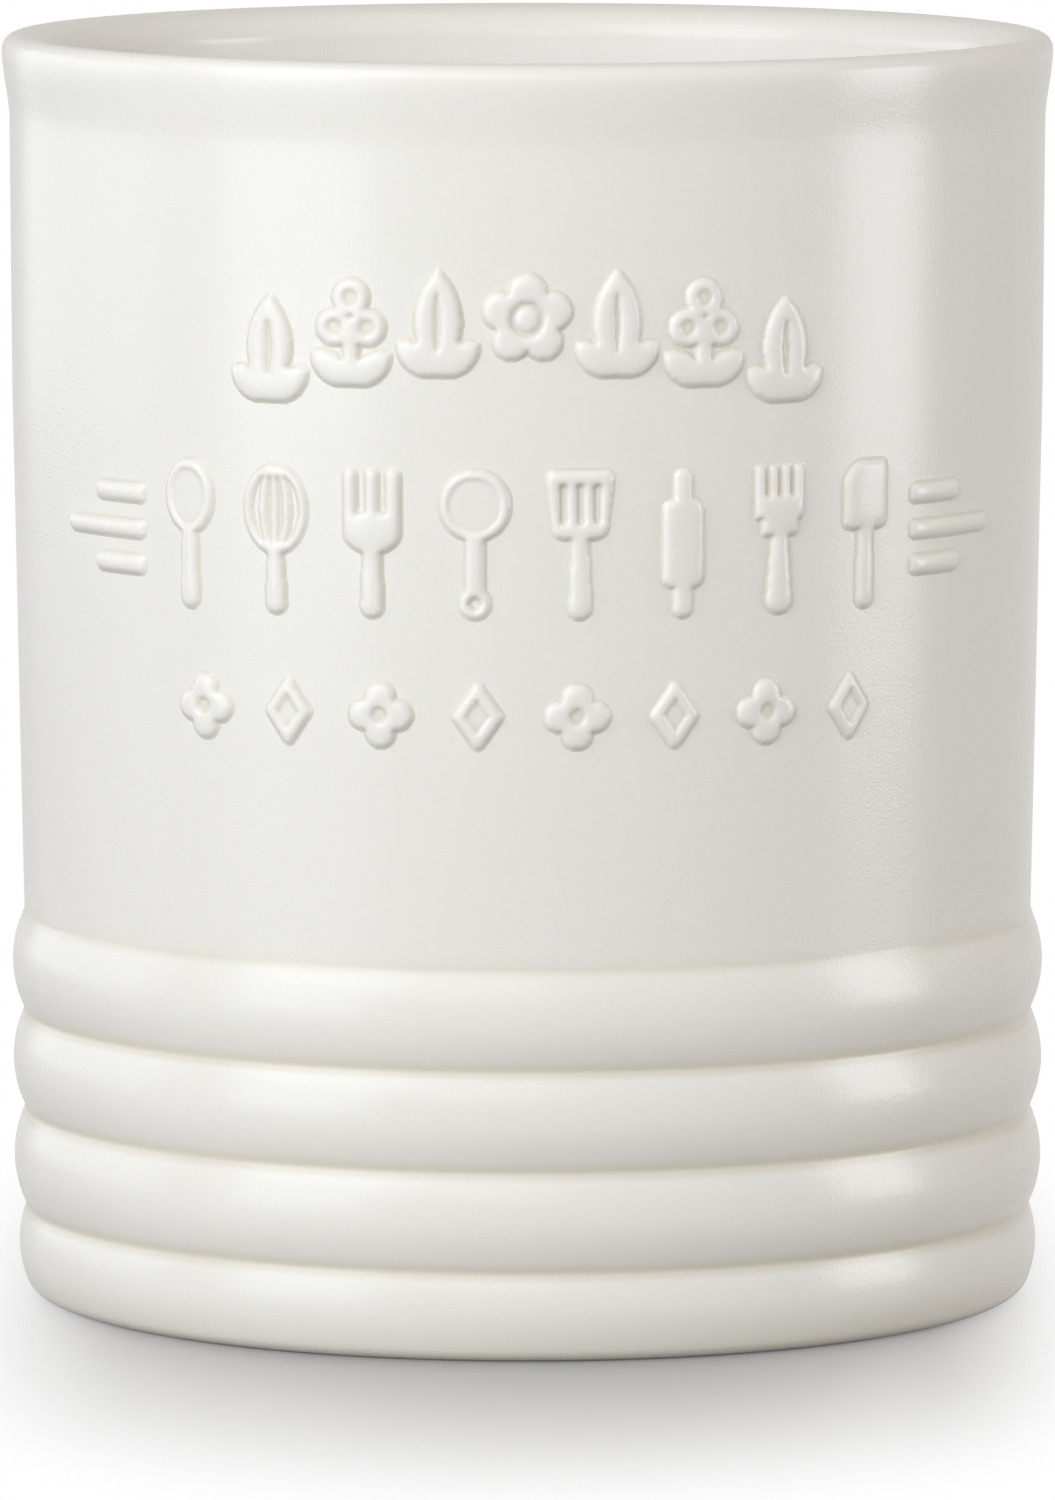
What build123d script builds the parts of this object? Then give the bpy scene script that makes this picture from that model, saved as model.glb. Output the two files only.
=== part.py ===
from build123d import *

import os
from math import asin, cos, degrees, sin, sqrt

# Utensil crock of glazed stoneware. Millimetres, Z up, the foot stands on Z = 0,
# the axis of the crock is Z, and the ornament faces -Y.

# Crock body: heights and outer radii
crock_height = 183.0
neck_radius = 74.9
neck_drop = 12.5  # crest of the rim down to the start of the flare
lip_flare = 1.1  # neck out to the widest point of the rolled rim
lip_round = 2.2  # outer half of the roll
lip_roll = 4.5  # crest down to the bore, inside
shoulder_radius = 74.65  # wall where its taper eases, under the upper row
shoulder_share = 0.652  # of the wall's height, as in the rows of ornament
wall_foot_radius = 73.25  # wall where it meets the ring mouldings

# Crock body: ring mouldings at the base
ring_count = 3  # whole rings above the base ring
ring_pitch = 14.3
ring_proud = 1.75
base_ring_height = 12.7
base_ring_crest = 7.6  # height of the base ring's widest line
base_ring_proud = 1.1
base_groove_inset = 0.25  # foot of the wall in to the groove over the base ring

# Crock body: foot, floor and inside
foot_inset = 0.9  # that groove in to the outer edge of the foot
foot_round = 1.3
foot_ring_width = 9.5
foot_ring_slope = 1.5
foot_recess = 2.2
recess_chamfer = 0.8
wall_thickness = 6.5
floor_thickness = 7.0
floor_corner_round = 14.0

# Ornament: pressed clay reliefs luted to the wall
relief = 1.2  # how far a relief stands off the wall
hollow_relief = 0.5  # what is left of that in its hollows
relief_reach = 6.0  # depth of the straight cutter, past the curve of the wall
relief_margin = 1.0

# Upper row: leaves and berries about a flower, on an arch
arch_pitch = 12.6
arch_share = 0.799  # middle of the row at its crown, up the wall
arch_radius = 158.0
leaf_length = 14.8
leaf_width = 6.6
leaflet_length = 7.4
leaflet_width = 4.0
leaflet_tilt = 52.0
leaf_rib_length = 8.4
leaf_rib_width = 1.1
berry_count = 3
berry_radius = 2.6
berry_spread = 2.8
berry_hollow_radius = 1.1
berry_stem_width = 2.2
flower_petals = 5
flower_radius = 3.8
petal_radius = 2.6
flower_eye_radius = 1.6
flower_ring_width = 0.9

# Middle row: eight kitchen utensils
utensil_pitch = 14.7
utensil_share = 0.524  # middle of the row, up the wall
utensil_length = 21.0
handle_end_radius = 1.6
handle_neck_radius = 1.1
bowl_rim = 1.2
spoon_width = 8.6
spoon_length = 10.4
fork_tines = 3
fork_tine_width = 1.9
fork_tine_pitch = 3.2
fork_tine_length = 9.0
fork_root_height = 6.0
whisk_width = 10.0
whisk_length = 12.6
whisk_wire = 1.1
whisk_inner_width = 4.9
ladle_width = 10.0
ladle_stem_width = 2.5
ladle_ring_radius = 2.2
ladle_hole_radius = 0.85
turner_width = 9.8
turner_neck_width = 7.4
turner_length = 9.6
turner_corner = 1.3
turner_slots = 3
turner_slot_width = 1.05
turner_slot_length = 5.6
turner_slot_pitch = 2.4
pin_width = 6.0
pin_length = 12.4
pin_corner = 1.5
pin_grip_width = 2.7
scraper_width = 8.0
scraper_length = 9.6
scraper_big_corner = 3.8
scraper_corner = 1.0
brush_width = 7.8
brush_length = 7.4
brush_notches = 3
brush_notch_width = 0.8
brush_notch_length = 4.2
brush_notch_pitch = 2.0
ferrule_width = 5.8
ferrule_length = 3.0
ferrule_overlap = 0.6
brush_handle_radius = 2.0

# Lower row: blossoms and lozenges in turn
border_count = 8
border_pitch = 13.9
border_share = 0.3133  # middle of the row, up the wall
blossom_petals = 4
blossom_radius = 2.5
blossom_petal_radius = 2.1
blossom_eye_radius = 1.1
lozenge_width = 7.4
lozenge_length = 10.4
lozenge_corner = 0.7
lozenge_rim = 1.6

# Plain bars on each side of the middle row
bar_thickness = 2.4
bar_corner = 0.6
bar_pitch = 5.1
bar_inner_end = 60.4  # along the wall, from the middle of the front
short_bar_length = 11.0
long_bar_length = 18.4

neck_height = crock_height - neck_drop
rings_top = base_ring_height + ring_count * ring_pitch
wall_height = neck_height - rings_top
shoulder_height = rings_top + shoulder_share * wall_height
arch_height = rings_top + arch_share * wall_height
utensil_height = rings_top + utensil_share * wall_height
border_height = rings_top + border_share * wall_height
lip_radius = neck_radius + lip_flare
base_groove_radius = wall_foot_radius - base_groove_inset
foot_radius = base_groove_radius - foot_inset
floor_top = foot_recess + floor_thickness
bore_radius = neck_radius - wall_thickness
inner_floor_radius = base_groove_radius - wall_thickness


def wall_radius(height):
    """Outer radius of the wall, which tapers in two straight stretches."""
    if height < shoulder_height:
        share = (height - rings_top) / (shoulder_height - rings_top)
        return wall_foot_radius + (shoulder_radius - wall_foot_radius) * share
    share = (height - shoulder_height) / (neck_height - shoulder_height)
    return shoulder_radius + (neck_radius - shoulder_radius) * share


def groove_radius(ring):
    """Radius of the groove under whole ring number ring, counted from the base."""
    return base_groove_radius + (wall_foot_radius - base_groove_radius) * ring / ring_count


def wall_line(offset):
    """The wall in section, moved outwards by offset."""
    Polyline(
        (wall_foot_radius + offset, rings_top),
        (shoulder_radius + offset, shoulder_height),
        (neck_radius + offset, neck_height),
    )


def corners(section, points):
    """The corner of a section nearest to each of these points."""
    return [section.vertices().sort_by_distance(point)[0] for point in points]


def make_crock_body():
    """The crock in section, turned about its axis."""
    groove_points = [
        (groove_radius(ring), base_ring_height + ring * ring_pitch)
        for ring in range(ring_count + 1)
    ]
    foot_inner_radius = foot_radius - foot_ring_width
    recess_radius = foot_inner_radius - foot_ring_slope
    with BuildPart() as body:
        with BuildSketch(Plane.XZ) as section:
            with BuildLine():
                Polyline(
                    (0, floor_top),
                    (0, foot_recess),
                    (recess_radius, foot_recess),
                    (foot_inner_radius, 0),
                    (foot_radius, 0),
                )
                ThreePointArc(
                    (foot_radius, 0),
                    (base_groove_radius + base_ring_proud, base_ring_crest),
                    groove_points[0],
                )
                for low, high in zip(groove_points, groove_points[1:]):
                    crest_radius = (low[0] + high[0]) / 2 + ring_proud
                    ThreePointArc(low, (crest_radius, (low[1] + high[1]) / 2), high)
                wall_line(0)
                Spline(
                    (neck_radius, neck_height),
                    (lip_radius, crock_height - lip_round),
                    tangents=[(0, 1), (0, 1)],
                )
                TangentArc(
                    (lip_radius, crock_height - lip_round),
                    (lip_radius - lip_round, crock_height),
                    tangent=(0, 1),
                )
                TangentArc(
                    (lip_radius - lip_round, crock_height),
                    (bore_radius, crock_height - lip_roll),
                    tangent=(-1, 0),
                )
                Line((bore_radius, crock_height - lip_roll), (bore_radius, neck_height))
                wall_line(-wall_thickness)
                Polyline(
                    (wall_foot_radius - wall_thickness, rings_top),
                    (inner_floor_radius, floor_top),
                    (0, floor_top),
                )
            make_face()
            fillet(corners(section, [(foot_radius, 0)]), foot_round)
            fillet(corners(section, [(inner_floor_radius, floor_top)]), floor_corner_round)
            recess_corners = [(foot_inner_radius, 0), (recess_radius, foot_recess)]
            chamfer(corners(section, recess_corners), recess_chamfer)
        revolve(axis=Axis.Z)
    return body.part


def make_wall_skin(inner, outer):
    """Skin that follows the wall, from inner to outer off its surface."""
    with BuildPart() as skin:
        with BuildSketch(Plane.XZ):
            with BuildLine():
                wall_line(inner)
                Line((neck_radius + inner, neck_height), (neck_radius + outer, neck_height))
                wall_line(outer)
                Line(
                    (wall_foot_radius + outer, rings_top),
                    (wall_foot_radius + inner, rings_top),
                )
            make_face()
        revolve(axis=Axis.Z)
    return skin.part


relief_skin = make_wall_skin(0, relief)
hollow_skin = make_wall_skin(hollow_relief, relief + relief_margin)


def seat(along, height, tilt=0):
    """Plane on the wall, x to the right and y up for someone who faces the crock there.

    along is measured round the wall from the middle of the front, to the right.
    """
    radius = wall_radius(height)
    angle = along / radius
    upright = Plane(
        origin=(radius * sin(angle), -radius * cos(angle), height),
        x_dir=(cos(angle), sin(angle), 0),
        z_dir=(sin(angle), -cos(angle), 0),
    )
    return upright.rotated((0, 0, tilt))


def cut_from_skin(plane, outline, skin):
    """The piece of a skin of the wall that lies behind an outline."""
    with BuildPart() as cut:
        with BuildSketch(plane):
            add(outline)
        extrude(amount=relief_reach, both=True)
        add(skin, mode=Mode.INTERSECT)
    return cut.part


def press_relief(name, plane, outline, hollow=None):
    """One relief, as thick as the skin of the wall, less its hollows."""
    with BuildPart() as piece:
        add(cut_from_skin(plane, outline, relief_skin))
        if hollow is not None:
            add(cut_from_skin(plane, hollow, hollow_skin), mode=Mode.SUBTRACT)
    piece.part.label = name
    export_step(piece.part, f"parts/{name}.step")
    return piece.part


def leaf_blade(length, width):
    """Pointed leaf between two arcs, its stalk end at the origin, pointing up."""
    with BuildSketch() as blade:
        with BuildLine():
            ThreePointArc((0, 0), (width / 2, length / 2), (0, length))
            ThreePointArc((0, length), (-width / 2, length / 2), (0, 0))
        make_face()
    return blade.sketch


def leaf():
    """A leaf with a sunk rib, and a leaflet on each side of its stalk."""
    with BuildSketch() as outline:
        with Locations((0, -leaf_length / 2)):
            add(leaf_blade(leaf_length, leaf_width))
            add(leaf_blade(leaflet_length, leaflet_width), rotation=leaflet_tilt)
            add(leaf_blade(leaflet_length, leaflet_width), rotation=-leaflet_tilt)
    with BuildSketch() as hollow:
        with Locations((0, -leaf_rib_length / 2)):
            add(leaf_blade(leaf_rib_length, leaf_rib_width))
    return outline.sketch, hollow.sketch


def berries():
    """Berries on a stem, with a leaflet on each side of its foot."""
    berries_y = leaf_length / 2 - berry_spread - berry_radius
    stem_length = berries_y + leaf_length / 2
    with BuildSketch() as outline:
        with Locations((0, berries_y)):
            with PolarLocations(berry_spread, berry_count, start_angle=90):
                Circle(berry_radius)
        with Locations((0, berries_y - stem_length / 2)):
            Rectangle(berry_stem_width, stem_length)
        with Locations((0, -leaf_length / 2)):
            add(leaf_blade(leaflet_length, leaflet_width), rotation=leaflet_tilt)
            add(leaf_blade(leaflet_length, leaflet_width), rotation=-leaflet_tilt)
    with BuildSketch() as hollow:
        with Locations((0, berries_y)):
            with PolarLocations(berry_spread, berry_count, start_angle=90):
                Circle(berry_hollow_radius)
    return outline.sketch, hollow.sketch


def flower():
    """Round petals about a raised eye, with a sunk ring between."""
    with BuildSketch() as outline:
        Circle(flower_radius)
        with PolarLocations(flower_radius, flower_petals, start_angle=90):
            Circle(petal_radius)
    with BuildSketch() as hollow:
        Circle(flower_eye_radius + flower_ring_width)
        Circle(flower_eye_radius, mode=Mode.SUBTRACT)
    return outline.sketch, hollow.sketch


def handle(neck_y, end_radius=handle_end_radius):
    """Tapered handle of a utensil, round at both ends, down to the utensil's foot."""
    with BuildSketch() as grip:
        with Locations((0, neck_y)):
            Circle(handle_neck_radius)
        with Locations((0, end_radius - utensil_length / 2)):
            Circle(end_radius)
        make_hull()
    return grip.sketch


def spoon():
    """Oval bowl with a rim."""
    bowl_y = (utensil_length - spoon_length) / 2
    with BuildSketch() as outline:
        add(handle(bowl_y))
        with Locations((0, bowl_y)):
            Ellipse(spoon_width / 2, spoon_length / 2)
    with BuildSketch() as hollow:
        with Locations((0, bowl_y)):
            Ellipse(spoon_width / 2 - bowl_rim, spoon_length / 2 - bowl_rim)
    return outline.sketch, hollow.sketch


def fork():
    """Round-ended tines on a round root."""
    root_y = utensil_length / 2 - fork_tine_length
    root_radius = ((fork_tines - 1) * fork_tine_pitch + fork_tine_width) / 2
    with BuildSketch() as outline:
        add(handle(root_y))
        with Locations((0, root_y)):
            Ellipse(root_radius, fork_root_height / 2)
        with Locations((0, root_y + fork_tine_length / 2)):
            with GridLocations(fork_tine_pitch, 0, fork_tines, 1):
                SlotOverall(fork_tine_length, fork_tine_width, rotation=90)
    return outline.sketch, None


def wire_loop(width, length):
    """One oval loop of whisk wire."""
    with BuildSketch() as loop:
        Ellipse(width / 2, length / 2)
        Ellipse(width / 2 - whisk_wire, length / 2 - whisk_wire, mode=Mode.SUBTRACT)
    return loop.sketch


def whisk():
    """Two loops of wire and a straight one, gathered in a handle."""
    loops_y = (utensil_length - whisk_length) / 2
    with BuildSketch() as outline:
        add(handle(loops_y - (whisk_length - whisk_wire) / 2))
        with Locations((0, loops_y)):
            add(wire_loop(whisk_width, whisk_length))
            add(wire_loop(whisk_inner_width, whisk_length))
            Rectangle(whisk_wire, whisk_length - whisk_wire)
    return outline.sketch, None


def ladle():
    """Round bowl with a rim, and a ring to hang the ladle by."""
    bowl_y = (utensil_length - ladle_width) / 2
    ring_y = ladle_ring_radius - utensil_length / 2
    with BuildSketch() as outline:
        with Locations((0, (bowl_y + ring_y) / 2)):
            Rectangle(ladle_stem_width, bowl_y - ring_y)
        with Locations((0, bowl_y)):
            Circle(ladle_width / 2)
        with Locations((0, ring_y)):
            Circle(ladle_ring_radius)
            Circle(ladle_hole_radius, mode=Mode.SUBTRACT)
    with BuildSketch() as hollow:
        with Locations((0, bowl_y)):
            Circle(ladle_width / 2 - bowl_rim)
    return outline.sketch, hollow.sketch


def turner():
    """Flared blade with slots right through it."""
    blade_y = (utensil_length - turner_length) / 2
    with BuildSketch() as outline:
        with Locations((0, blade_y)):
            Polygon(
                (-turner_neck_width / 2, -turner_length / 2),
                (turner_neck_width / 2, -turner_length / 2),
                (turner_width / 2, turner_length / 2),
                (-turner_width / 2, turner_length / 2),
            )
        fillet(outline.vertices(), turner_corner)
        add(handle(blade_y - turner_slot_length / 2 - turner_slot_width))
        with Locations((0, blade_y)):
            with GridLocations(turner_slot_pitch, 0, turner_slots, 1):
                SlotOverall(
                    turner_slot_length, turner_slot_width, rotation=90, mode=Mode.SUBTRACT
                )
    return outline.sketch, None


def rolling_pin():
    """Barrel with a grip at each end."""
    with BuildSketch() as outline:
        SlotOverall(utensil_length, pin_grip_width, rotation=90)
        RectangleRounded(pin_width, pin_length, pin_corner)
    return outline.sketch, None


def scraper():
    """Flat blade with one corner rounded off."""
    blade_y = (utensil_length - scraper_length) / 2
    with BuildSketch() as outline:
        with Locations((0, blade_y)):
            Rectangle(scraper_width, scraper_length)
        blade_corners = outline.vertices().sort_by(Axis.Y)
        big_corner = blade_corners[2:].sort_by(Axis.X)[0]
        small_corners = [corner for corner in blade_corners if corner != big_corner]
        fillet(small_corners, scraper_corner)
        fillet(corners(outline, [big_corner.center()]), scraper_big_corner)
        add(handle(blade_y))
    return outline.sketch, None


def pastry_brush():
    """Bristles parted by notches, a ferrule and a stout handle."""
    bristle_y = (utensil_length - brush_length) / 2
    ferrule_y = bristle_y - (brush_length + ferrule_length) / 2 + ferrule_overlap
    with BuildSketch() as outline:
        with Locations((0, bristle_y)):
            Rectangle(brush_width, brush_length)
        with Locations((0, (utensil_length - brush_notch_length) / 2)):
            with GridLocations(brush_notch_pitch, 0, brush_notches, 1):
                Rectangle(brush_notch_width, brush_notch_length, mode=Mode.SUBTRACT)
        with Locations((0, ferrule_y)):
            Rectangle(ferrule_width, ferrule_length)
        add(handle(ferrule_y, brush_handle_radius))
    return outline.sketch, None


def blossom():
    """Four petals about a sunk eye."""
    with BuildSketch() as outline:
        Circle(blossom_radius)
        with PolarLocations(blossom_radius, blossom_petals, start_angle=90):
            Circle(blossom_petal_radius)
    with BuildSketch() as hollow:
        Circle(blossom_eye_radius)
    return outline.sketch, hollow.sketch


def lozenge():
    """Upright lozenge with a sunk middle."""
    with BuildSketch() as outline:
        Polygon(
            (0, lozenge_length / 2),
            (-lozenge_width / 2, 0),
            (0, -lozenge_length / 2),
            (lozenge_width / 2, 0),
        )
        fillet(outline.vertices(), lozenge_corner)
    with BuildSketch() as hollow:
        add(outline.sketch)
        offset(amount=-lozenge_rim, mode=Mode.REPLACE)
    return outline.sketch, hollow.sketch


def bar(length):
    """Plain bar with eased corners."""
    with BuildSketch() as outline:
        RectangleRounded(length, bar_thickness, bar_corner)
    return outline.sketch


os.makedirs("parts", exist_ok=True)

crock_body = make_crock_body()
crock_body.label = "crock_body"
export_step(crock_body, "parts/crock_body.step")

arch_row = (
    ("arch_leaf_1", leaf),
    ("arch_berries_1", berries),
    ("arch_leaf_2", leaf),
    ("arch_flower", flower),
    ("arch_leaf_3", leaf),
    ("arch_berries_2", berries),
    ("arch_leaf_4", leaf),
)
for place, (name, motif) in enumerate(arch_row):
    along = (place - (len(arch_row) - 1) / 2) * arch_pitch
    drop = arch_radius - sqrt(arch_radius**2 - along**2)
    plane = seat(along, arch_height - drop, tilt=-degrees(asin(along / arch_radius)))
    press_relief(name, plane, *motif())

utensil_row = (
    ("spoon_relief", spoon),
    ("whisk_relief", whisk),
    ("fork_relief", fork),
    ("ladle_relief", ladle),
    ("turner_relief", turner),
    ("rolling_pin_relief", rolling_pin),
    ("pastry_brush_relief", pastry_brush),
    ("scraper_relief", scraper),
)
for place, (name, motif) in enumerate(utensil_row):
    along = (place - (len(utensil_row) - 1) / 2) * utensil_pitch
    press_relief(name, seat(along, utensil_height), *motif())

for place in range(border_count):
    along = (place - (border_count - 1) / 2) * border_pitch
    plane = seat(along, border_height)
    if place % 2 == 0:
        press_relief(f"blossom_{place // 2 + 1}", plane, *blossom())
    else:
        press_relief(f"lozenge_{place // 2 + 1}", plane, *lozenge())

bar_rows = (
    ("upper", 1, short_bar_length),
    ("middle", 0, long_bar_length),
    ("lower", -1, short_bar_length),
)
for side, direction in (("left", -1), ("right", 1)):
    for row, step, length in bar_rows:
        along = direction * (bar_inner_end + length / 2)
        plane = seat(along, utensil_height + step * bar_pitch)
        press_relief(f"{side}_bar_{row}", plane, bar(length))
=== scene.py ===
from cmath import exp, phase
from math import acos, atan2, cos, pi, radians, sin

import bpy
import numpy as np
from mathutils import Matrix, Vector, noise
from mathutils.bvhtree import BVHTree


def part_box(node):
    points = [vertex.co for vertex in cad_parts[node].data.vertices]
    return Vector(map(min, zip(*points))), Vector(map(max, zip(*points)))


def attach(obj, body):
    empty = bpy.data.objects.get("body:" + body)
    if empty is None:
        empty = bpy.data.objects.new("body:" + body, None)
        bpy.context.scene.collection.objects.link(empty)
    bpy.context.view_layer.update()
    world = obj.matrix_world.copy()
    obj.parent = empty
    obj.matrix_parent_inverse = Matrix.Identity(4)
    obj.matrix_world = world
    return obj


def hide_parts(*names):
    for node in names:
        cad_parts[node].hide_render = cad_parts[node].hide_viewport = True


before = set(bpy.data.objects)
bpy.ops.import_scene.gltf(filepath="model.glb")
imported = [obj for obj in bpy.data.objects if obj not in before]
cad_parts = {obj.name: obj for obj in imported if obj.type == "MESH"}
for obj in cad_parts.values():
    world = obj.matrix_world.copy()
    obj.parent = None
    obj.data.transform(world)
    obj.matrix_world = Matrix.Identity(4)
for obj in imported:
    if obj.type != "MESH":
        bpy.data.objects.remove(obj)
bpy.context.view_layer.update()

# Crock body: one casting of white stoneware, turned true on a wheel while it is leather hard,
# with a rolled rim, four half-round mouldings and a foot ring. It is dipped in satin glaze,
# which rounds every edge, pools in the grooves and is wiped off the foot ring.

mm = 0.001
_, body_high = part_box("crock_body")
crock_height = body_high.z
lip_radius = body_high.x
lip_round = 2.2 * mm
lip_roll = 4.5 * mm
lip_overhang = 1.1 * mm
flare_rise = 12.5 * mm
flare_steps = 12
neck_radius = lip_radius - lip_overhang
neck_height = crock_height - flare_rise
shoulder_taper = 0.25 * mm
shoulder_radius = neck_radius - shoulder_taper
wall_taper = 1.65 * mm
wall_foot_radius = neck_radius - wall_taper

ring_count = 3
ring_pitch = 14.3 * mm
ring_proud = 1.75 * mm
base_ring_height = 12.7 * mm
base_ring_crest = 7.6 * mm
base_ring_proud = 1.1 * mm
base_groove_taper = 0.25 * mm
base_groove_radius = wall_foot_radius - base_groove_taper
rings_top = base_ring_height + ring_count * ring_pitch
shoulder_share = 0.652
shoulder_height = rings_top + shoulder_share * (neck_height - rings_top)

foot_taper = 0.9 * mm
foot_radius = base_groove_radius - foot_taper
foot_round = 1.3 * mm
foot_round_share = 0.29
foot_ring_width = 9.5 * mm
foot_ring_slope = 1.5 * mm
foot_recess = 2.2 * mm

wall_thickness = 6.5 * mm
floor_thickness = 7.0 * mm
floor_top = foot_recess + floor_thickness
floor_corner_round = 14.0 * mm
bore_radius = neck_radius - wall_thickness
inner_floor_radius = base_groove_radius - wall_thickness


def arc(start, through, end, steps=24):
    """Points on the arc from start through a second point to end, without start itself."""
    a, b, c = (complex(*point) for point in (start, through, end))
    lean = (c - a) / (b - a)
    centre = a + (b - a) * (lean - abs(lean) ** 2) / (2j * lean.imag)
    turn = phase((b - centre) / (a - centre)) + phase((c - centre) / (b - centre))
    points = [centre + (a - centre) * exp(1j * turn * step / steps) for step in range(1, steps + 1)]
    return [(point.real, point.imag) for point in points]


def foot_and_rings():
    """Radius and height from under the floor, round the foot ring and up over the mouldings."""
    foot_inner_radius = foot_radius - foot_ring_width
    line = [(0, foot_recess), (foot_inner_radius - foot_ring_slope, foot_recess), (foot_inner_radius, 0)]

    groove_step = (wall_foot_radius - base_groove_radius) / ring_count
    grooves = [
        (base_groove_radius + ring * groove_step, base_ring_height + ring * ring_pitch)
        for ring in range(ring_count + 1)
    ]
    base_ring = arc(
        (foot_radius, 0), (base_groove_radius + base_ring_proud, base_ring_crest), grooves[0]
    )
    base_ring = [point for point in base_ring if point[1] > foot_round]
    under_edge = (foot_radius - foot_round, 0)
    edge_middle = (foot_radius - foot_round_share * foot_round, foot_round_share * foot_round)
    line += [under_edge]
    line += arc(under_edge, edge_middle, base_ring[0])
    line += base_ring[1:]
    for low, high in zip(grooves, grooves[1:]):
        crest = ((low[0] + high[0]) / 2 + ring_proud, (low[1] + high[1]) / 2)
        line += arc(low, crest, high)
    return line


def wall_and_rim():
    """Radius and height up the wall and the flare, over the rim and down to the bore."""
    line = [(shoulder_radius, shoulder_height), (neck_radius, neck_height)]
    flare_height = crock_height - lip_round - neck_height
    for share in np.linspace(0, 1, flare_steps + 1)[1:]:
        ease = share * share * (3 - 2 * share)
        line += [(neck_radius + (lip_radius - neck_radius) * ease, neck_height + flare_height * share)]

    crest_radius = lip_radius - lip_round
    line += arc(
        line[-1],
        (crest_radius + lip_round * cos(pi / 4), crock_height - lip_round * (1 - sin(pi / 4))),
        (crest_radius, crock_height),
    )
    roll_width = crest_radius - bore_radius
    roll_radius = (roll_width**2 + lip_roll**2) / (2 * lip_roll)
    half_turn = acos(1 - lip_roll / roll_radius) / 2
    line += arc(
        (crest_radius, crock_height),
        (crest_radius - roll_radius * sin(half_turn), crock_height - roll_radius * (1 - cos(half_turn))),
        (bore_radius, crock_height - lip_roll),
    )
    return line


def inner_wall_and_floor():
    """Radius and height down the inside of the wall and in over the floor to the axis."""
    corner_x = inner_floor_radius - floor_corner_round
    corner_z = floor_top + floor_corner_round
    line = [
        (bore_radius, neck_height),
        (shoulder_radius - wall_thickness, shoulder_height),
        (wall_foot_radius - wall_thickness, rings_top),
        (inner_floor_radius, corner_z),
    ]
    line += arc(
        (inner_floor_radius, corner_z),
        (
            corner_x + floor_corner_round * cos(pi / 4),
            corner_z - floor_corner_round * sin(pi / 4),
        ),
        (corner_x, floor_top),
    )
    return line + [(0, floor_top)]


outline_step = 0.2 * mm


def along_outline(line):
    """Points in even steps along an outline."""
    line = np.array(line)
    lengths = np.hypot(*np.diff(line, axis=0).T)
    ends = np.concatenate([[0], np.cumsum(lengths)])
    places = np.linspace(0, ends[-1], int(ends[-1] / outline_step))
    return np.stack([np.interp(places, ends, column) for column in line.T], axis=1)


def settle(values, spread, axis=0):
    """Values smoothed along an axis over spread steps, as a fired glaze smooths what it covers."""
    reach = int(4 * spread) + 1
    weights = np.exp(-0.5 * (np.arange(-reach, reach + 1) / spread) ** 2)
    weights /= weights.sum()
    padding = [(0, 0)] * values.ndim
    padding[axis] = (reach, reach)
    padded = np.pad(values, padding, mode="edge")
    return np.apply_along_axis(lambda row: np.convolve(row, weights, "valid"), axis, padded)


# Pooling runs from -1, where the glaze has drawn thin over an edge, to 1, where it lies thickest
# in a groove. The darker colour it gives a groove is partly glaze and partly painted shade, and
# what faces down is painted darker too, which is painted shade and not glaze.
glaze_round = 0.4 * mm
pool_and_shade_width = 1.6 * mm
pool_and_shade_depth = 0.3 * mm
painted_underside_shade = 0.6
raw_outline = along_outline(foot_and_rings() + wall_and_rim() + inner_wall_and_floor())
glazed_outline = settle(raw_outline, glaze_round / outline_step)
wide_outline = settle(raw_outline, pool_and_shade_width / outline_step)
outline_run = np.gradient(glazed_outline, axis=0)
outline_run /= np.linalg.norm(outline_run, axis=1, keepdims=True)
outward = np.stack([outline_run[:, 1], -outline_run[:, 0]], axis=1)
filled = ((wide_outline - glazed_outline) * outward).sum(axis=1) / pool_and_shade_depth
facing_down = np.clip(-outward[:, 1], 0, 1)
pooling_and_shade = np.clip(filled + painted_underside_shade * facing_down, -1, 1)

longest_step = 2.5 * mm
sharpest_turn = radians(3.0)


def needed_steps(line):
    """The places along a line that its bends need, with none too far from the next."""
    kept = [0]
    headings = np.unwrap(np.arctan2(*np.diff(line, axis=0).T[::-1]))
    for place in range(1, len(line) - 1):
        turn = abs(headings[place] - headings[kept[-1]])
        gap = np.linalg.norm(line[place] - line[kept[-1]])
        if turn > sharpest_turn or gap > longest_step:
            kept.append(place)
    return kept + [len(line) - 1]


kept_steps = needed_steps(glazed_outline)
glazed_outline = glazed_outline[kept_steps]
pooling_and_shade = pooling_and_shade[kept_steps]

# The turner's hand and the kiln leave the body a few hundredths of a millimetre out of true.
turns_round = 320
wobble = 0.035 * mm
wobble_size = 34 * mm
inside_fade_rows = 12


def add_attribute(mesh, name, values):
    """A number for each point of a mesh, which its material reads by name."""
    attribute = mesh.attributes.new(name, "FLOAT", "POINT")
    attribute.data.foreach_set("value", np.asarray(values, np.float32))


def make_piece(name, points, faces, material):
    """A smooth-shaded mesh that rides on the crock and has its glaze."""
    mesh = bpy.data.meshes.new(name)
    mesh.from_pydata(points, [], faces)
    mesh.validate()
    mesh.shade_smooth()
    mesh.materials.append(material)
    piece = bpy.data.objects.new(name, mesh)
    bpy.context.scene.collection.objects.link(piece)
    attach(piece, "root")
    return piece


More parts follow.
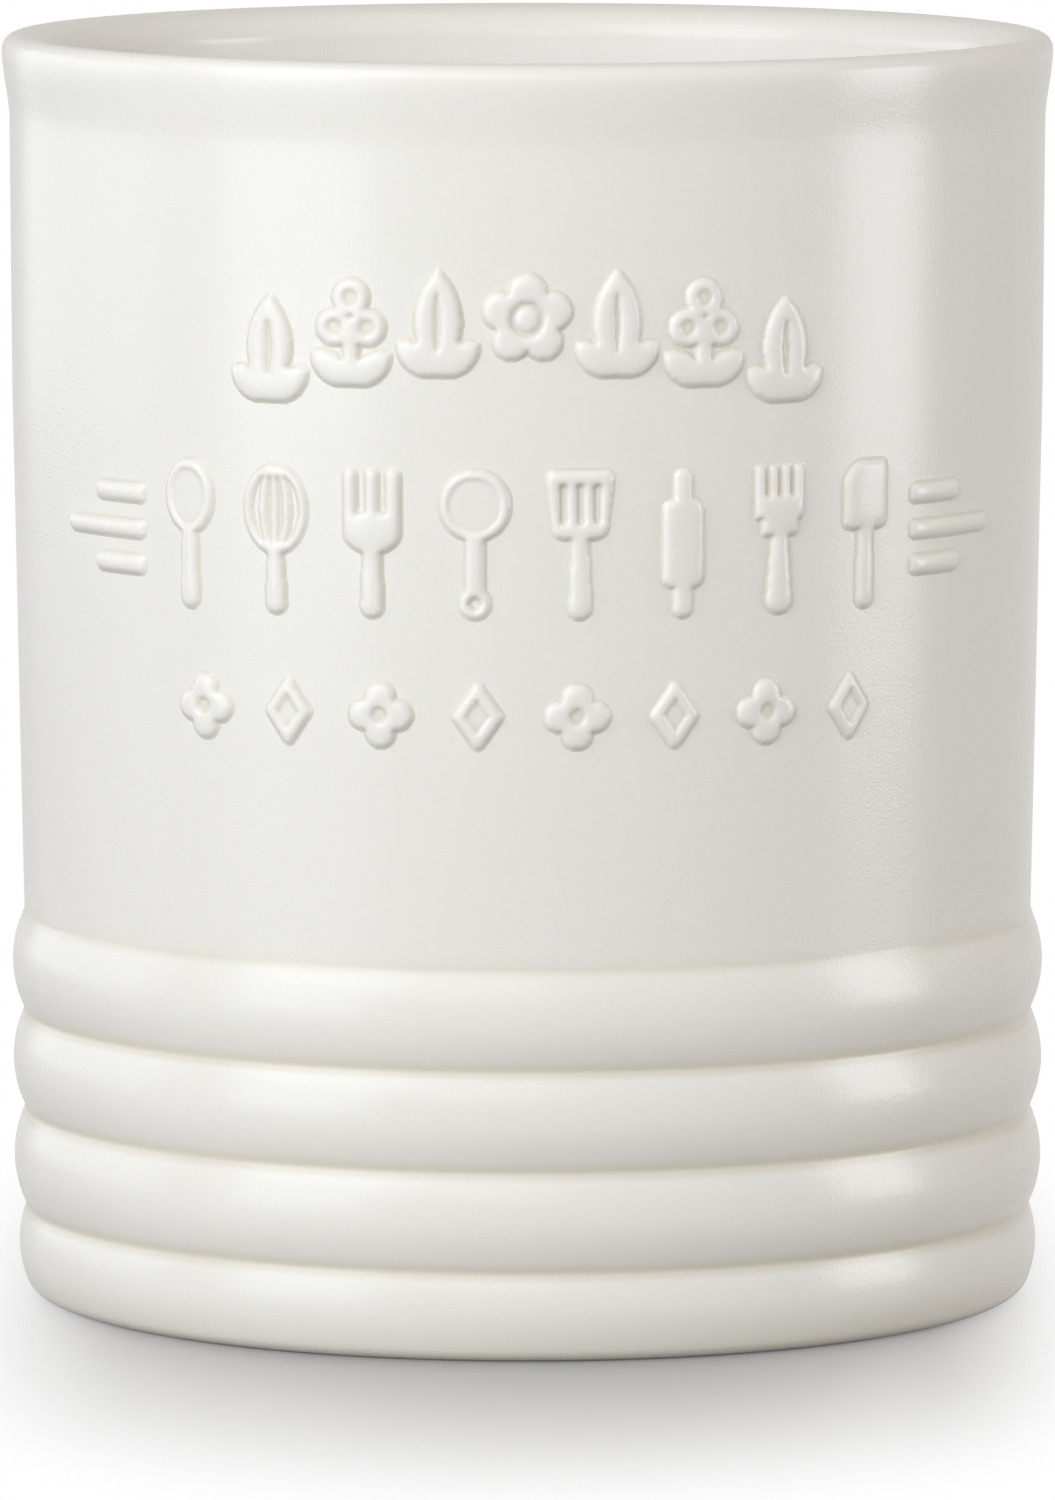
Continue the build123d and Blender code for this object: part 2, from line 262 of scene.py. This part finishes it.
def turn_crock():
    """Points and faces of the body, then each point's glaze pooling with painted shade, and share inside
    it.
    """
    points = [(0, 0, glazed_outline[0][1])]
    rows = glazed_outline[1:-1]
    for radius, height in rows:
        for place in range(turns_round):
            angle = 2 * pi * place / turns_round
            x, y = radius * sin(angle), -radius * cos(angle)
            out = wobble * (noise.noise(Vector((x, y, height)) / wobble_size) - 1)
            standing = min(1, height / rings_top)
            reach = 1 + out * standing / radius
            points.append((x * reach, y * reach, height))
    points.append((0, 0, glazed_outline[-1][1]))
    last = len(points) - 1
    faces = []
    for place in range(turns_round):
        after = (place + 1) % turns_round
        faces.append((0, 1 + after, 1 + place))
        for row in range(len(rows) - 1):
            low, high = 1 + row * turns_round, 1 + (row + 1) * turns_round
            faces.append((low + place, low + after, high + after, high + place))
        top = 1 + (len(rows) - 1) * turns_round
        faces.append((top + place, top + after, last))
    pooled_and_shaded = [pooling_and_shade[0], *np.repeat(pooling_and_shade[1:-1], turns_round), pooling_and_shade[-1]]
    crest = int(np.argmax(glazed_outline[:, 1]))
    past_crest = np.clip((np.arange(len(glazed_outline)) - crest) / inside_fade_rows, 0, 1)
    inner = [0, *np.repeat(past_crest[1:-1], turns_round), 1]
    return points, faces, pooled_and_shaded, inner


def new_group(name, inputs, outputs):
    """An empty shader group with its sockets, and its input and output nodes."""
    group = bpy.data.node_groups.new(name, "ShaderNodeTree")
    for label, kind in inputs:
        group.interface.new_socket(name=label, in_out="INPUT", socket_type=kind)
    for label, kind in outputs:
        group.interface.new_socket(name=label, in_out="OUTPUT", socket_type=kind)
    return group, group.nodes.new("NodeGroupInput"), group.nodes.new("NodeGroupOutput")


def math_node(tree, operation, first, second=None):
    """A Math node whose inputs are sockets or numbers, and its result."""
    node = tree.nodes.new("ShaderNodeMath")
    node.operation = operation
    for socket, value in zip(node.inputs, (first, second)):
        if isinstance(value, bpy.types.NodeSocket):
            tree.links.new(value, socket)
        elif value is not None:
            socket.default_value = value
    return node.outputs[0]


def noise_node(tree, vector, scale, detail):
    """Soft noise from 0 to 1 at a scale in features to the metre."""
    node = tree.nodes.new("ShaderNodeTexNoise")
    node.inputs["Scale"].default_value = scale
    node.inputs["Detail"].default_value = detail
    tree.links.new(vector, node.inputs["Vector"])
    return node.outputs["Fac"]


def mix_colours(tree, share, first, second):
    """Two colours mixed by a share, from all of the first at 0 to all of the second at 1."""
    node = tree.nodes.new("ShaderNodeMix")
    node.data_type = "RGBA"
    tree.links.new(share, node.inputs["Factor"])
    for label, value in (("A", first), ("B", second)):
        socket = [s for s in node.inputs if s.name == label and s.type == "RGBA"][0]
        if isinstance(value, bpy.types.NodeSocket):
            tree.links.new(value, socket)
        else:
            socket.default_value = (*value, 1)
    return [s for s in node.outputs if s.type == "RGBA"][0]


def ramp(tree, value, low, high):
    """0 at low to 1 at high, eased at both ends."""
    node = tree.nodes.new("ShaderNodeMapRange")
    node.interpolation_type = "SMOOTHSTEP"
    tree.links.new(value, node.inputs["Value"])
    node.inputs["From Min"].default_value = low
    node.inputs["From Max"].default_value = high
    return node.outputs["Result"]


drift_scale = 45
mottle_scale = 420
ripple_scale = 260
grain_scale = 2200


def make_glaze_clouds():
    """Soft cloudiness of a dipped glaze, from 0 to 1: wide drifts with small mottles in them."""
    group, entry, result = new_group(
        "Glaze clouds",
        [("Vector", "NodeSocketVector")],
        [("Drift", "NodeSocketFloat"), ("Mottle", "NodeSocketFloat")],
    )
    vector = entry.outputs["Vector"]
    drift = noise_node(group, vector, drift_scale, detail=2)
    group.links.new(drift, result.inputs["Drift"])
    mottle = noise_node(group, vector, mottle_scale, detail=3)
    group.links.new(mottle, result.inputs["Mottle"])
    return group


def make_glaze_skin():
    """Height in millimetres of a satin glaze's surface: faint ripples under a fine crystal grain."""
    group, entry, result = new_group(
        "Glaze skin",
        [("Vector", "NodeSocketVector"), ("Ripple", "NodeSocketFloat"), ("Grain", "NodeSocketFloat")],
        [("Height", "NodeSocketFloat")],
    )
    vector = entry.outputs["Vector"]
    ripple = noise_node(group, vector, ripple_scale, detail=1)
    ripple = math_node(group, "MULTIPLY", ripple, entry.outputs["Ripple"])
    grain = noise_node(group, vector, grain_scale, detail=2)
    grain = math_node(group, "MULTIPLY", grain, entry.outputs["Grain"])
    height = math_node(group, "ADD", ripple, grain)
    group.links.new(height, result.inputs["Height"])
    return group


def place_group(tree, group, vector, **values):
    """A shader group set in a material, fed with a vector and with its own values."""
    node = tree.nodes.new("ShaderNodeGroup")
    node.node_tree = group
    tree.links.new(vector, node.inputs["Vector"])
    for label, value in values.items():
        node.inputs[label].default_value = value
    return node


def read_attribute(tree, name):
    """The number that add_attribute gave each point under a name."""
    node = tree.nodes.new("ShaderNodeAttribute")
    node.attribute_name = name
    return node.outputs["Fac"]


glaze_clouds = make_glaze_clouds()
glaze_skin = make_glaze_skin()

glaze_colour = (0.835, 0.828, 0.792)
drift_colour = (0.853, 0.847, 0.816)
inside_painted_light_colour = (0.925, 0.918, 0.892)
pooled_and_shade_colour = (0.77, 0.735, 0.648)
thin_colour = (0.875, 0.866, 0.832)
foot_glaze_and_painted_bounce_colour = (0.88, 0.86, 0.79)
clay_colour = (0.66, 0.59, 0.49)
clay_speck_colour = (0.50, 0.42, 0.32)
pooling_and_shade_seen = 0.05
wiped_bottom = 0.5 * mm
wiped_top = 0.62 * mm
wiped_wander = 0.5 * mm
speck_edge = 0.6
speck_middle = 0.72
glaze_roughness = 0.155
drift_extra_roughness = 0.06
inner_gloss = 0.02
clay_extra_roughness = 0.5
ripple_height = 0.01
grain_height = 0.04


def make_satin_glaze():
    """Pearl white satin glaze, a little glossier inside, down to bare clay under the foot, with painted
    shade in grooves and underneath, painted light inside and partly painted light at the foot.
    """
    material = bpy.data.materials.new("satin_glaze")
    material.use_nodes = True
    tree = material.node_tree
    shader = tree.nodes["Principled BSDF"]
    place = tree.nodes.new("ShaderNodeTexCoord").outputs["Object"]
    clouds = place_group(tree, glaze_clouds, place)
    skin = place_group(tree, glaze_skin, place, Ripple=ripple_height, Grain=grain_height)
    pool_and_shade = read_attribute(tree, "pooling_and_shade")
    inner = read_attribute(tree, "inside")

    colour = mix_colours(tree, clouds.outputs["Drift"], glaze_colour, drift_colour)
    # Darker, warmer colour where the pooling value is high: partly glaze pooled in grooves, partly
    # painted shade in grooves, corners and on what faces down.
    pooled_and_shaded = ramp(tree, pool_and_shade, pooling_and_shade_seen, 1.0)
    thin = ramp(tree, math_node(tree, "MULTIPLY", pool_and_shade, -1.0), pooling_and_shade_seen, 1.0)
    # The inside is painted paler than the outer glaze: painted light standing in for the light that
    # fills the mouth.
    colour = mix_colours(tree, inner, colour, inside_painted_light_colour)
    colour = mix_colours(tree, pooled_and_shaded, colour, pooled_and_shade_colour)
    colour = mix_colours(tree, thin, colour, thin_colour)

    height = tree.nodes.new("ShaderNodeSeparateXYZ")
    tree.links.new(place, height.inputs["Vector"])
    # Lighter, warmer colour towards the foot: partly the glaze thinning near the wiped foot, partly
    # painted light of a warm bounce off the table against the shade there.
    near_foot = ramp(tree, height.outputs["Z"], base_ring_crest, 0)
    colour = mix_colours(tree, near_foot, colour, foot_glaze_and_painted_bounce_colour)
    wander = math_node(tree, "MULTIPLY", clouds.outputs["Mottle"], wiped_wander)
    bare = ramp(tree, math_node(tree, "ADD", height.outputs["Z"], wander), wiped_top, wiped_bottom)
    speck = ramp(tree, clouds.outputs["Mottle"], speck_edge, speck_middle)
    clay = mix_colours(tree, speck, clay_colour, clay_speck_colour)
    colour = mix_colours(tree, bare, colour, clay)
    tree.links.new(colour, shader.inputs["Base Color"])

    roughness = math_node(tree, "MULTIPLY", clouds.outputs["Drift"], drift_extra_roughness)
    roughness = math_node(tree, "ADD", roughness, glaze_roughness)
    less_inside = math_node(tree, "MULTIPLY", inner, -inner_gloss)
    roughness = math_node(tree, "ADD", roughness, less_inside)
    more_when_bare = math_node(tree, "MULTIPLY", bare, clay_extra_roughness)
    roughness = math_node(tree, "ADD", roughness, more_when_bare)
    tree.links.new(roughness, shader.inputs["Roughness"])
    shader.inputs["IOR"].default_value = 1.6

    bump = tree.nodes.new("ShaderNodeBump")
    bump.inputs["Strength"].default_value = 1.0
    bump.inputs["Distance"].default_value = mm
    tree.links.new(skin.outputs["Height"], bump.inputs["Height"])
    tree.links.new(bump.outputs["Normal"], shader.inputs["Normal"])
    return material


satin_glaze = make_satin_glaze()
points, faces, body_pooling_and_shade, body_inside = turn_crock()
crock_body = make_piece("crock_body_glazed", points, faces, satin_glaze)
add_attribute(crock_body.data, "pooling_and_shade", body_pooling_and_shade)
add_attribute(crock_body.data, "inside", body_inside)
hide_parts("crock_body")

# Upper row of reliefs: leaves and berries about a flower, each pressed in a small mould from
# the crock's own clay and luted to the wall with slip. The glaze rounds their tops and fills
# the corner where they meet the wall, and that corner is painted darker, partly as pooled glaze
# and partly as painted shade.

sprig_height = 1.2 * mm
sunk_height = 0.5 * mm
sprig_cell = 0.2 * mm
sprig_border = 1.4 * mm
sprig_round = 0.2 * mm
sprig_swell = 0.8 * mm
swell_passes = 160
sprig_seat = 0.012 * mm
sprig_depth = 0.25 * mm
sprig_pool_and_shade_width = 3 * sprig_round
sprig_pool_and_shade_depth = 0.16 * mm
ray_start = 90 * mm
wall_tree = BVHTree.FromPolygons(points, faces)


def surface_radius(tree, angle, height):
    """Radius at which a level line in towards the axis meets a surface, or None."""
    origin = Vector((ray_start * sin(angle), -ray_start * cos(angle), height))
    inward = Vector((-sin(angle), cos(angle), 0))
    hit = tree.ray_cast(origin, inward, ray_start / 2)
    return None if hit[0] is None else ray_start - hit[3]


def read_relief(node):
    """Grid of angles and heights over a relief, the wall's radius there and the clay on it."""
    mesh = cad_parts[node].data
    corners = [tuple(vertex.co) for vertex in mesh.vertices]
    tree = BVHTree.FromPolygons(corners, [tuple(face.vertices) for face in mesh.polygons])
    around = [atan2(x, -y) for x, y, z in corners]
    up = [z for x, y, z in corners]
    border = sprig_border / shoulder_radius
    step = sprig_cell / shoulder_radius
    angles = np.arange(min(around) - border, max(around) + border, step)
    heights = np.arange(min(up) - sprig_border, max(up) + sprig_border, sprig_cell)
    wall = np.empty((len(heights), len(angles)))
    clay = np.zeros_like(wall)
    for row, height in enumerate(heights):
        for column, angle in enumerate(angles):
            wall[row, column] = surface_radius(wall_tree, angle, height)
            face = surface_radius(tree, angle, height)
            if face is not None:
                clay[row, column] = max(0, face - wall[row, column])
    return angles, heights, wall, clay


def swell_clay(shape):
    """Height from 0 to 1 of clay that bellies over a shape, round at its edges."""
    pull = (sprig_cell / sprig_swell) ** 2
    belly = np.zeros(shape.shape)
    for _ in range(swell_passes):
        around = np.roll(belly, 1, 0) + np.roll(belly, -1, 0)
        around += np.roll(belly, 1, 1) + np.roll(belly, -1, 1)
        belly = shape * (around + pull) / (4 + pull)
    return np.sqrt(belly)


def settle_grid(values, spread):
    """Values over a grid, smoothed both ways over a spread in metres."""
    return settle(settle(values, spread / sprig_cell, 0), spread / sprig_cell, 1)


def closed_patch(angles, heights, front, back, kept):
    """A closed patch over the kept cells: which grid points it uses, and its points and faces."""
    used = np.zeros(front.shape, bool)
    for rows in (slice(None, -1), slice(1, None)):
        for columns in (slice(None, -1), slice(1, None)):
            used[rows, columns] |= kept
    number = np.full(front.shape, -1)
    number[used] = np.arange(used.sum())

    grid_angle, grid_height = np.meshgrid(angles, heights)
    points = []
    for radius in (front, back):
        x, y = radius * np.sin(grid_angle), -radius * np.cos(grid_angle)
        points += list(zip(x[used], y[used], grid_height[used]))
    behind = int(used.sum())
    faces = []
    open_edges = {}
    for row, column in zip(*np.nonzero(kept)):
        ring = [
            int(number[row, column]),
            int(number[row, column + 1]),
            int(number[row + 1, column + 1]),
            int(number[row + 1, column]),
        ]
        faces.append(ring)
        faces.append([corner + behind for corner in reversed(ring)])
        for first, second in zip(ring, ring[1:] + ring[:1]):
            if open_edges.pop((second, first), None) is None:
                open_edges[first, second] = True
    for first, second in open_edges:
        faces.append([second, first, first + behind, second + behind])
    return used, points, faces


def press_sprig(node):
    """One relief as glazed: a closed piece with a swelling top, set a little into the wall."""
    angles, heights, wall, clay = read_relief(node)
    not_sunk = clay > (sunk_height + sprig_height) / 2
    belly = sunk_height * swell_clay(clay > 0) + (sprig_height - sunk_height) * swell_clay(not_sunk)
    top = settle_grid(belly, sprig_round)
    # The pooling value darkens a relief's sunk middles and the corner at the wall: partly pooled glaze,
    # partly painted shade.
    pool_and_shade = np.clip((settle_grid(top, sprig_pool_and_shade_width) - top) / sprig_pool_and_shade_depth, -1, 1)

    raised = top > sprig_seat / 2
    kept = raised[:-1, :-1] | raised[1:, :-1] | raised[:-1, 1:] | raised[1:, 1:]
    front = wall + top - sprig_seat
    back = wall - sprig_depth
    used, points, faces = closed_patch(angles, heights, front, back, kept)
    piece = make_piece(node + "_glazed", points, faces, satin_glaze)
    add_attribute(piece.data, "pooling_and_shade", np.concatenate([pool_and_shade[used], pool_and_shade[used]]))
    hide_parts(node)


press_sprig("arch_flower")
for count in range(1, 3):
    press_sprig(f"arch_berries_{count}")
for count in range(1, 5):
    press_sprig(f"arch_leaf_{count}")

# Middle row of reliefs: eight kitchen utensils, pressed and luted like the row above. Slots,
# tines and wires are open down to the wall, and the glaze half fills them.

utensils = ("spoon", "whisk", "fork", "ladle", "turner", "rolling_pin", "pastry_brush", "scraper")
for utensil in utensils:
    press_sprig(utensil + "_relief")

# Lower row of reliefs: small blossoms and lozenges in turn, pressed and luted like the rest,
# with glaze pooled in their sunk middles, which are painted darker, partly as glaze and partly
# as painted shade.

for count in range(1, 5):
    press_sprig(f"blossom_{count}")
    press_sprig(f"lozenge_{count}")

# Plain bars, three on each side of the middle row: short strips of the crock's clay, rolled
# out, cut and luted on.

for side in ("left", "right"):
    for row in ("upper", "middle", "lower"):
        press_sprig(f"{side}_bar_{row}")

# Floor: a wide glossy grey table that a glow makes look white. Near the crock the glow is held
# back in a drawn patch, a painted shadow, where the grey table shows with the crock's real shadow
# and a faint reflection of its foot; further away it turns to plain white.

floor_size = 14.0
half = floor_size / 2
floor_mesh = bpy.data.meshes.new("floor")
floor_mesh.from_pydata(
    [(-half, -half, 0), (half, -half, 0), (half, half, 0), (-half, half, 0)], [], [(0, 1, 2, 3)]
)
floor = bpy.data.objects.new("floor", floor_mesh)
bpy.context.scene.collection.objects.link(floor)

table_colour = (0.372, 0.362, 0.343, 1)
near_glow_colour = (0.86, 0.88, 1.0, 1)
near_glow = 0.115
backdrop_in_gloss = 0.55
# Sizes of the painted shadow: a drawn patch round the crock where the white glow is held back and the
# grey table shows.
painted_shadow_reach = 0.21
painted_shadow_shape = (1.7, 1.0, 1.0)
painted_shadow_side = 0.055
painted_shadow_side_end = 0.09


def seen_directly(tree):
    """1 for rays from the camera or through glass, and a set share for rays that gloss reflects."""
    path = tree.nodes.new("ShaderNodeLightPath").outputs
    by_gloss = math_node(tree, "MULTIPLY", path["Is Glossy Ray"], backdrop_in_gloss)
    seen = math_node(tree, "MAXIMUM", path["Is Camera Ray"], by_gloss)
    return math_node(tree, "MAXIMUM", seen, path["Is Transmission Ray"])


def past_painted_shadow(tree):
    """0 in a drawn patch about the crock's foot, a painted shadow whose shape is set here and not by the
    lamps, to 1 past it ahead, behind and beside.
    """
    place = tree.nodes.new("ShaderNodeTexCoord").outputs["Object"]
    narrowed = tree.nodes.new("ShaderNodeVectorMath")
    narrowed.operation = "MULTIPLY"
    tree.links.new(place, narrowed.inputs[0])
    narrowed.inputs[1].default_value = painted_shadow_shape
    distance = tree.nodes.new("ShaderNodeVectorMath")
    distance.operation = "LENGTH"
    tree.links.new(narrowed.outputs["Vector"], distance.inputs[0])
    ahead = ramp(tree, distance.outputs["Value"], lip_radius, painted_shadow_reach)
    from_axis = tree.nodes.new("ShaderNodeSeparateXYZ")
    tree.links.new(place, from_axis.inputs["Vector"])
    aside = math_node(tree, "ABSOLUTE", from_axis.outputs["X"])
    beside = ramp(tree, aside, painted_shadow_side, painted_shadow_side_end)
    not_ahead = math_node(tree, "SUBTRACT", 1.0, ahead)
    not_beside = math_node(tree, "SUBTRACT", 1.0, beside)
    in_painted_shadow = math_node(tree, "MULTIPLY", not_ahead, not_beside)
    return math_node(tree, "SUBTRACT", 1.0, in_painted_shadow)


def make_floor_material():
    """Grey lacquer under a faint glow, which keeps the real shadow inside a painted shadow patch, and a
    plain white glow past it.
    """
    material = bpy.data.materials.new("white_table")
    material.use_nodes = True
    tree = material.node_tree
    shader = tree.nodes["Principled BSDF"]
    shader.inputs["Base Color"].default_value = table_colour
    shader.inputs["Roughness"].default_value = 0.22
    shader.inputs["IOR"].default_value = 1.4
    shader.inputs["Emission Color"].default_value = near_glow_colour
    seen = seen_directly(tree)
    tree.links.new(math_node(tree, "MULTIPLY", seen, near_glow), shader.inputs["Emission Strength"])
    glow = tree.nodes.new("ShaderNodeEmission")
    mix = tree.nodes.new("ShaderNodeMixShader")
    tree.links.new(math_node(tree, "MULTIPLY", seen, past_painted_shadow(tree)), mix.inputs["Fac"])
    tree.links.new(shader.outputs["BSDF"], mix.inputs[1])
    tree.links.new(glow.outputs["Emission"], mix.inputs[2])
    tree.links.new(mix.outputs["Shader"], tree.nodes["Material Output"].inputs["Surface"])
    return material


floor_mesh.materials.append(make_floor_material())

# Light: a white studio, lit from the left by three softboxes, which leave their broad gleam on
# the wall and the rings, and from the right by a narrow strip. Soft fills at the front, right
# and back aren't seen in the glaze.

studio_colour = (1.0, 0.84, 0.68, 1)
studio_strength = 0.26
studio = bpy.data.worlds.new("white_studio")
bpy.context.scene.world = studio
studio.use_nodes = True
studio_tree = studio.node_tree
studio_light = studio_tree.nodes["Background"]
studio_light.inputs["Color"].default_value = studio_colour
studio_light.inputs["Strength"].default_value = studio_strength
white_wall = studio_tree.nodes.new("ShaderNodeBackground")
white_wall.inputs["Color"].default_value = (1, 1, 1, 1)
wall_mix = studio_tree.nodes.new("ShaderNodeMixShader")
studio_tree.links.new(seen_directly(studio_tree), wall_mix.inputs["Fac"])
studio_tree.links.new(studio_light.outputs["Background"], wall_mix.inputs[1])
studio_tree.links.new(white_wall.outputs["Background"], wall_mix.inputs[2])
studio_tree.links.new(wall_mix.outputs["Shader"], studio_tree.nodes["World Output"].inputs["Surface"])


def add_softbox(name, colour, azimuth, distance, width, height, brightness, elevation=0, glossy=True):
    """A softbox aimed at the crock, azimuth in degrees from the camera round to the right.

    A level box stands on the table, and a raised one aims at the middle of the crock.
    """
    lamp = bpy.data.lights.new(name, "AREA")
    lamp.shape = "RECTANGLE"
    lamp.size = width
    lamp.size_y = height
    lamp.energy = pi * width * height * brightness
    lamp.color = colour
    box = bpy.data.objects.new(name, lamp)
    around, up = radians(azimuth), radians(elevation)
    level = crock_height / 2 if elevation else height / 2
    box.location = (
        distance * cos(up) * sin(around),
        -distance * cos(up) * cos(around),
        level + distance * sin(up),
    )
    aim = Vector((0, 0, level)) - box.location
    box.rotation_euler = aim.to_track_quat("-Z", "Y").to_euler()
    box.visible_camera = False
    box.visible_glossy = glossy
    bpy.context.scene.collection.objects.link(box)


cool_white = (0.955, 1.0, 1.06)
pale_blue_white = (0.975, 1.0, 1.05)
front_white = (0.965, 1.0, 1.03)
warm_white = (1.04, 1.0, 0.9)
add_softbox(
    "left_side_softbox", cool_white, azimuth=-118,
    distance=1.2, width=1.3, height=0.6, brightness=0.8,
)
add_softbox(
    "left_standing_softbox", cool_white, azimuth=-51,
    distance=1.0, width=0.6, height=0.62, brightness=1.35,
)
add_softbox(
    "left_raised_softbox", cool_white, azimuth=-51, elevation=40,
    distance=1.3, width=0.95, height=0.8, brightness=1.15,
)
add_softbox(
    "right_standing_strip", pale_blue_white, azimuth=82,
    distance=0.75, width=0.31, height=0.42, brightness=2.75,
)
add_softbox(
    "right_fill", warm_white, azimuth=108,
    distance=1.2, width=1.0, height=0.6, brightness=1.2, glossy=False,
)
add_softbox(
    "back_fill", cool_white, azimuth=180,
    distance=1.2, width=1.4, height=0.9, brightness=2.0, glossy=False,
)
add_softbox(
    "front_fill", front_white, azimuth=-15, elevation=25,
    distance=1.3, width=0.9, height=0.6, brightness=5.35, glossy=False,
)

# Camera: a long lens almost two metres in front of the crock and a little above its rim,
# tilted down to see it as the photograph does.

camera_distance = 1.9085
camera_height = 0.297
camera_tilt = 6.530
camera = bpy.data.cameras.new("camera")
camera.sensor_width = 36
camera.lens = 317.0
camera.clip_end = 30
viewpoint = bpy.data.objects.new("camera", camera)
viewpoint.location = (0, -camera_distance, camera_height)
viewpoint.rotation_euler = (radians(90 - camera_tilt), 0, 0)
bpy.context.scene.collection.objects.link(viewpoint)
bpy.context.scene.camera = viewpoint
bpy.context.scene.view_settings.view_transform = "Standard"
